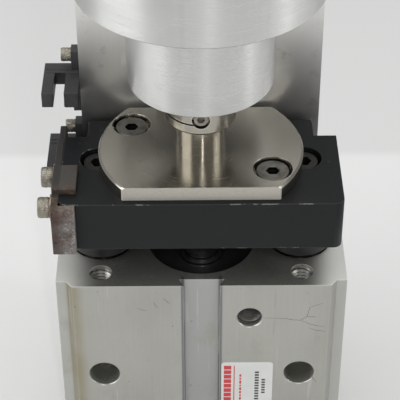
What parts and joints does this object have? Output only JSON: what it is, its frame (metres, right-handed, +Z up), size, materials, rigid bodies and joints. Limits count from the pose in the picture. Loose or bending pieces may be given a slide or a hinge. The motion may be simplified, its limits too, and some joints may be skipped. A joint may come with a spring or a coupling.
{
  "type": "rotary pneumatic actuator",
  "caption": "Guided air cylinder that lifts a tool plate carrying a vane rotary unit on a clamped hub, with fork sensors on a rear plate.",
  "frame": {"origin": "centre of the cylinder body's lower end face, on the axis shared by piston rod, hub and rotary unit", "axes": "+Z up along that axis, -Y towards the face with the air ports, +X to the right seen from that face"},
  "size_m": [0.1062, 0.082, 0.2224],
  "materials": {
    "body_aluminium": "clear anodised extrusion, fine vertical grain, oil stains and hairline scratches",
    "cap_aluminium": "turned",
    "ring_steel": "phosphated spring steel",
    "gland_black": "black anodised, satin",
    "ring_black": "black phosphated spring steel",
    "seal_rubber": "moulded",
    "bushing_bronze": "sintered bronze",
    "label_film": "white printed film, blank bars and blocks only",
    "plate_aluminium": "satin, ground along its length",
    "black_oxide": "black oxide steel",
    "sensor_upper_plastic": "moulded dark grey",
    "sensor_lower_plastic": "moulded dark grey",
    "small_screw_steel": "stainless",
    "small_washer_steel": "stainless",
    "black_anodise": "black anodised aluminium, worn bright on its front edge",
    "rod_chrome": "ground and polished",
    "bumper_rubber": "hard black urethane",
    "guide_screw_oxide": "black oxide steel",
    "piston_rod_chrome": "ground and polished",
    "rod_screw_oxide": "black oxide steel",
    "tube_aluminium": "turned",
    "piston_aluminium": "turned",
    "piston_rubber": "moulded",
    "magnet_black": "bonded magnet band",
    "flag_steel": "black oxide sheet steel, spotted with rust",
    "flag_screw_zinc": "zinc plated, knurled head",
    "flag_washer_steel": "plain steel, light rust",
    "hub_nickel": "nickel plated, bright turned",
    "hub_screw_oxide": "black oxide steel",
    "clamp_nickel": "nickel plated, bright turned",
    "clamp_screw_oxide": "black oxide steel",
    "shaft_steel": "ground",
    "vane_rubber": "rubber covered steel vane",
    "housing_aluminium": "matt clear anodised, turned",
    "nose_aluminium": "matt clear anodised, turned",
    "bearing_bronze": "sintered bronze",
    "shaft_rubber": "moulded",
    "shoe_steel": "ground",
    "cover_aluminium": "matt clear anodised, turned",
    "top_bearing_bronze": "sintered bronze",
    "cover_screw_oxide": "black oxide steel"
  },
  "bodies": {
    "cylinder": {"cylinder_body": "body_aluminium", "bottom_cap": "cap_aluminium", "cap_retaining_ring": "ring_steel", "rod_gland": "gland_black", "gland_retaining_ring": "ring_black", "rod_seal": "seal_rubber", "guide_bushings": "bushing_bronze", "data_label": "label_film", "rear_plate": "plate_aluminium", "rear_plate_screws": "black_oxide", "upper_sensor": "sensor_upper_plastic", "lower_sensor": "sensor_lower_plastic", "sensor_screws": "small_screw_steel", "sensor_washers": "small_washer_steel"},
    "carriage": {"tool_plate": "black_anodise", "guide_rods": "rod_chrome", "rod_bumpers": "bumper_rubber", "guide_rod_screws": "guide_screw_oxide", "piston_rod": "piston_rod_chrome", "piston_rod_screw": "rod_screw_oxide", "stop_tube": "tube_aluminium", "piston": "piston_aluminium", "piston_seal": "piston_rubber", "piston_magnet": "magnet_black", "flag_bracket": "flag_steel", "flag_screws": "flag_screw_zinc", "flag_washers": "flag_washer_steel", "hub_flange": "hub_nickel", "hub_flange_screws": "hub_screw_oxide", "clamp_hub": "clamp_nickel", "clamp_screw": "clamp_screw_oxide", "rotary_shaft": "shaft_steel", "vane": "vane_rubber"},
    "rotary_unit": {"rotary_nose": "nose_aluminium", "rotary_housing": "housing_aluminium", "lower_bearing": "bearing_bronze", "shaft_seal": "shaft_rubber", "stop_shoe": "shoe_steel", "rotary_cover": "cover_aluminium", "upper_bearing": "top_bearing_bronze", "cover_screws": "cover_screw_oxide"}
  },
  "joints": [
    {"name": "lift", "type": "slide", "parent": "cylinder", "child": "carriage", "axis": [0, 0, 1], "range_m": [0, 0.0254]},
    {"name": "swing", "type": "hinge", "parent": "carriage", "child": "rotary_unit", "pos_m": [0, 0, 0.15495], "axis": [0, 0, 1], "range_deg": [0, 180]}
  ]
}
